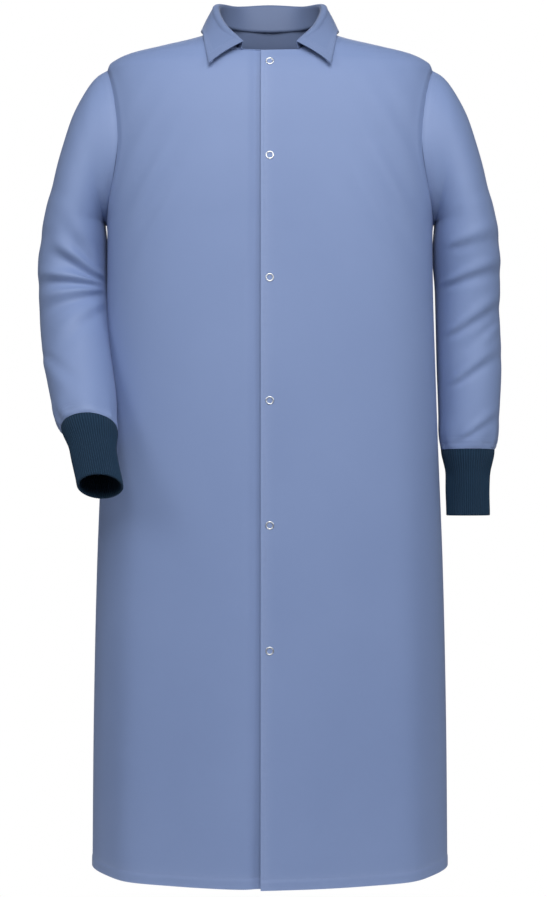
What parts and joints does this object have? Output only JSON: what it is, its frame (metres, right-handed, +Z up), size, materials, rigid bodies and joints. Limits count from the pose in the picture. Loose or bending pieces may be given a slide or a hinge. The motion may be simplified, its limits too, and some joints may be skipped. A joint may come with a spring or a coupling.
{
  "type": "lab coat",
  "caption": "Long knee-length lab coat with turn-down collar, snap front without pockets, set-in sleeves and rib knit cuffs.",
  "frame": {"origin": "middle of the neck at the height of the shoulders' highest points", "axes": "+Z up along the coat, the front faces -Y, +X is the wearer's left"},
  "size_m": [0.65, 0.3417, 1.2265],
  "materials": {
    "twill": "pressed mid-blue twill",
    "rib_knit": "navy rib knit",
    "interlining": "plain woven interlining",
    "snap_metal": "bright nickel plate"
  },
  "bodies": {
    "coat_body": {"back_panel": "twill", "left_front_panel": "twill", "right_front_panel": "twill", "left_front_fold": "twill", "right_front_fold": "twill", "under_collar": "twill", "collar_interlining": "interlining", "upper_collar": "twill", "left_sleeve_head": "twill", "right_sleeve_head": "twill", "left_shoulder_bend": "twill", "right_shoulder_bend": "twill"},
    "left_front": {"left_front_edge": "twill", "left_front_facing": "twill", "snap_1_front_ring": "snap_metal", "snap_1_socket": "snap_metal", "snap_2_front_ring": "snap_metal", "snap_2_socket": "snap_metal", "snap_3_front_ring": "snap_metal", "snap_3_socket": "snap_metal", "snap_4_front_ring": "snap_metal", "snap_4_socket": "snap_metal", "snap_5_front_ring": "snap_metal", "snap_5_socket": "snap_metal", "snap_6_front_ring": "snap_metal", "snap_6_socket": "snap_metal"},
    "right_front": {"right_front_edge": "twill", "right_front_facing": "twill", "snap_1_stud": "snap_metal", "snap_1_back_ring": "snap_metal", "snap_2_stud": "snap_metal", "snap_2_back_ring": "snap_metal", "snap_3_stud": "snap_metal", "snap_3_back_ring": "snap_metal", "snap_4_stud": "snap_metal", "snap_4_back_ring": "snap_metal", "snap_5_stud": "snap_metal", "snap_5_back_ring": "snap_metal", "snap_6_stud": "snap_metal", "snap_6_back_ring": "snap_metal"},
    "left_upper_arm": {"left_upper_sleeve": "twill", "left_elbow_bend": "twill"},
    "left_forearm": {"left_forearm_sleeve": "twill", "left_cuff": "rib_knit"},
    "right_upper_arm": {"right_upper_sleeve": "twill", "right_elbow_bend": "twill"},
    "right_forearm": {"right_forearm_sleeve": "twill", "right_cuff": "rib_knit"}
  },
  "joints": [
    {"name": "left_front_open", "type": "hinge", "parent": "coat_body", "child": "left_front", "pos_m": [0.05, -0.118, -0.05], "axis": [-0.0893, 0.025, 0.9957], "range_deg": [0, 110], "deforming": ["left_front_fold"]},
    {"name": "right_front_open", "type": "hinge", "parent": "coat_body", "child": "right_front", "pos_m": [-0.05, -0.118, -0.05], "axis": [-0.0893, -0.025, -0.9957], "range_deg": [0, 44], "deforming": ["right_front_fold"]},
    {"name": "left_shoulder_raise", "type": "hinge", "parent": "coat_body", "child": "left_upper_arm", "pos_m": [0.27, 0, -0.215], "axis": [0, -1, 0], "range_deg": [0, 55], "deforming": ["left_shoulder_bend"]},
    {"name": "left_elbow_bend", "type": "hinge", "parent": "left_upper_arm", "child": "left_forearm", "pos_m": [0.279, -0.025, -0.35], "axis": [-1, 0, 0], "range_deg": [0, 75], "deforming": ["left_elbow_bend"]},
    {"name": "right_shoulder_raise", "type": "hinge", "parent": "coat_body", "child": "right_upper_arm", "pos_m": [-0.27, 0, -0.215], "axis": [0, 1, 0], "range_deg": [0, 55], "deforming": ["right_shoulder_bend"]},
    {"name": "right_elbow_bend", "type": "hinge", "parent": "right_upper_arm", "child": "right_forearm", "pos_m": [-0.281, -0.035, -0.35], "axis": [-1, 0, 0], "range_deg": [0, 60], "deforming": ["right_elbow_bend"]}
  ],
  "couplings": [
    {"joint": "right_front_open", "follows": "left_front_open", "ratio": 0.4}
  ]
}
